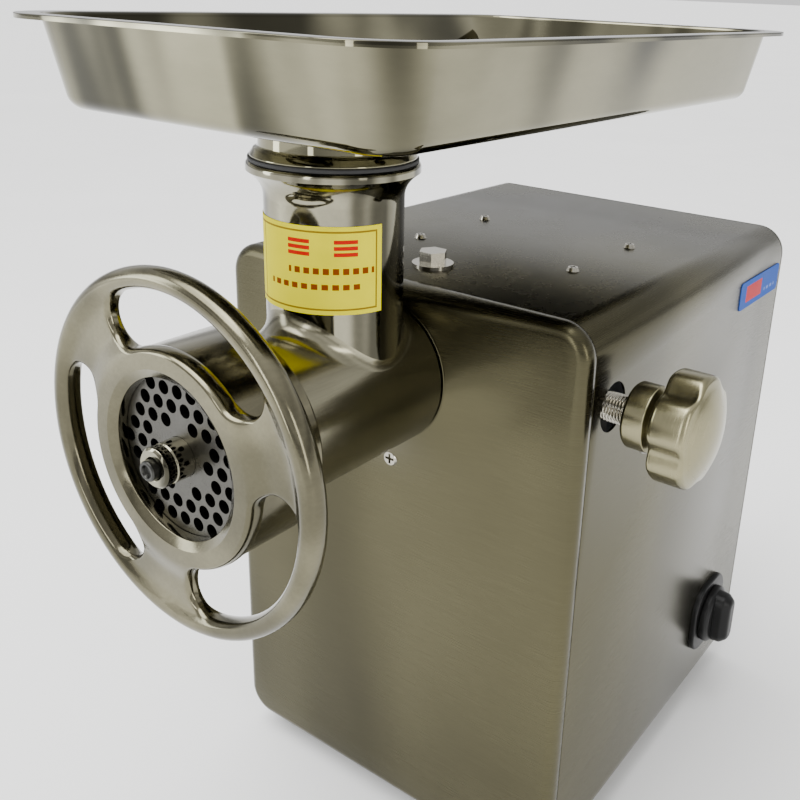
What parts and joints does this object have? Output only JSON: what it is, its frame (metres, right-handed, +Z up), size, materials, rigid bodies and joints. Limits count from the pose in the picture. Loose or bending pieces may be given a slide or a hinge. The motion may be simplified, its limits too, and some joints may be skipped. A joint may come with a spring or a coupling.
{
  "type": "meat grinder",
  "caption": "Electric meat grinder: box housing with gear motor, removable barrel head, auger, plate, handwheel nut and lift-off feed tray.",
  "frame": {"origin": "on the floor, below the middle of the housing, at the centre of the four feet", "axes": "+Z up along the feed neck, front of the machine (auger outlet) towards -Y, clamp knob side +X"},
  "size_m": [0.358, 0.546, 0.579],
  "materials": {
    "brushed_housing": "satin brushed stainless sheet",
    "polished_steel": "polished stainless casting",
    "tray_steel": "pressed stainless sheet, near mirror",
    "plate_steel": "ground tool steel, dull",
    "bright_fastener": "plated",
    "knob_steel": "satin turned metal",
    "cast_iron": "painted casting",
    "gear_steel": "oiled steel",
    "lamination": "varnished laminations and windings",
    "black_rubber": "matte black rubber",
    "black_plastic": "matte black plastic",
    "capacitor_can": "plain drawn can",
    "pad_brass": "turned brass",
    "yellow_label": "yellow printed film, plain marks",
    "blue_label": "blue and red printed film, plain marks"
  },
  "bodies": {
    "housing": {"front_panel": "brushed_housing", "wrap_cover": "brushed_housing", "rear_panel": "brushed_housing", "base_plate": "gear_steel", "rubber_feet": "black_rubber", "foot_screws": "bright_fastener", "rear_screws": "bright_fastener", "top_screws": "bright_fastener", "top_bolt": "bright_fastener", "top_bolt_washer": "bright_fastener", "front_screw": "bright_fastener", "gearbox_case": "cast_iron", "gearbox_cover": "cast_iron", "gearbox_screws": "bright_fastener", "output_bearings": "bright_fastener", "layshaft_bearings": "bright_fastener", "motor_hanger": "gear_steel", "hanger_bolts": "bright_fastener", "motor_case": "cast_iron", "motor_end_bell": "cast_iron", "motor_bearings": "bright_fastener", "stator": "lamination", "capacitor": "capacitor_can", "capacitor_clip": "gear_steel", "switch_plate": "black_plastic", "cord_gland": "black_rubber", "side_label": "blue_label"},
    "motor_rotor": {"rotor": "lamination", "motor_shaft": "bright_fastener", "motor_pinion": "gear_steel", "cooling_fan": "black_plastic"},
    "layshaft": {"layshaft": "bright_fastener", "layshaft_gear": "gear_steel", "layshaft_pinion": "gear_steel"},
    "output": {"output_shaft": "bright_fastener", "output_gear": "gear_steel", "shaft_key": "bright_fastener"},
    "switch": {"switch_knob": "black_plastic"},
    "clamp_pad": {"clamp_pad": "pad_brass"},
    "clamp_knob": {"clamp_screw": "bright_fastener", "knob": "knob_steel", "knob_set_screw": "gear_steel"},
    "head": {"head_barrel": "polished_steel", "plate_key": "bright_fastener", "neck_label": "yellow_label"},
    "auger": {"auger": "polished_steel", "knife": "plate_steel", "auger_pin": "polished_steel", "pin_plug": "gear_steel"},
    "plate": {"grinding_plate": "plate_steel"},
    "handwheel": {"handwheel": "polished_steel"},
    "tray": {"tray": "tray_steel", "tray_spigot": "tray_steel"}
  },
  "joints": [
    {"name": "motor_spin", "type": "hinge", "parent": "housing", "child": "motor_rotor", "pos_m": [0.007, 0, 0.2625], "axis": [0, 1, 0], "continuous": true},
    {"name": "layshaft_spin", "type": "hinge", "parent": "housing", "child": "layshaft", "pos_m": [0.007, 0, 0.3105], "axis": [0, 1, 0], "continuous": true},
    {"name": "output_spin", "type": "hinge", "parent": "housing", "child": "output", "pos_m": [0.007, 0, 0.369], "axis": [0, 1, 0], "continuous": true},
    {"name": "switch_turn", "type": "hinge", "parent": "housing", "child": "switch", "pos_m": [0.146, 0.1, 0.091], "axis": [1, 0, 0], "range_deg": [-45, 45]},
    {"name": "clamp_travel", "type": "slide", "parent": "housing", "child": "clamp_pad", "axis": [1, 0, 0], "range_m": [0, 0.0081]},
    {"name": "clamp_turn", "type": "hinge", "parent": "clamp_pad", "child": "clamp_knob", "pos_m": [0.15, -0.13, 0.366], "axis": [1, 0, 0], "range_deg": [0, 1440]},
    {"name": "head_slide", "type": "slide", "parent": "housing", "child": "head", "axis": [0, -1, 0], "range_m": [0, 0.07]},
    {"name": "auger_spin", "type": "hinge", "parent": "head", "child": "auger", "pos_m": [0.007, 0, 0.369], "axis": [0, 1, 0], "continuous": true},
    {"name": "plate_slide", "type": "slide", "parent": "head", "child": "plate", "axis": [0, -1, 0], "range_m": [0, 0.0091]},
    {"name": "handwheel_turn", "type": "hinge", "parent": "plate", "child": "handwheel", "pos_m": [0.007, 0, 0.369], "axis": [0, -1, 0], "range_deg": [0, 1080]},
    {"name": "tray_lift", "type": "slide", "parent": "head", "child": "tray", "axis": [0, 0, 1], "range_m": [0, 0.08]}
  ],
  "couplings": [
    {"joint": "layshaft_spin", "follows": "motor_spin", "ratio": -0.33333},
    {"joint": "output_spin", "follows": "motor_spin", "ratio": 0.12281},
    {"joint": "auger_spin", "follows": "motor_spin", "ratio": 0.12281},
    {"joint": "clamp_travel", "follows": "clamp_turn", "m_per_rad": 0.00031831},
    {"joint": "plate_slide", "follows": "handwheel_turn", "m_per_rad": 0.00047746}
  ]
}
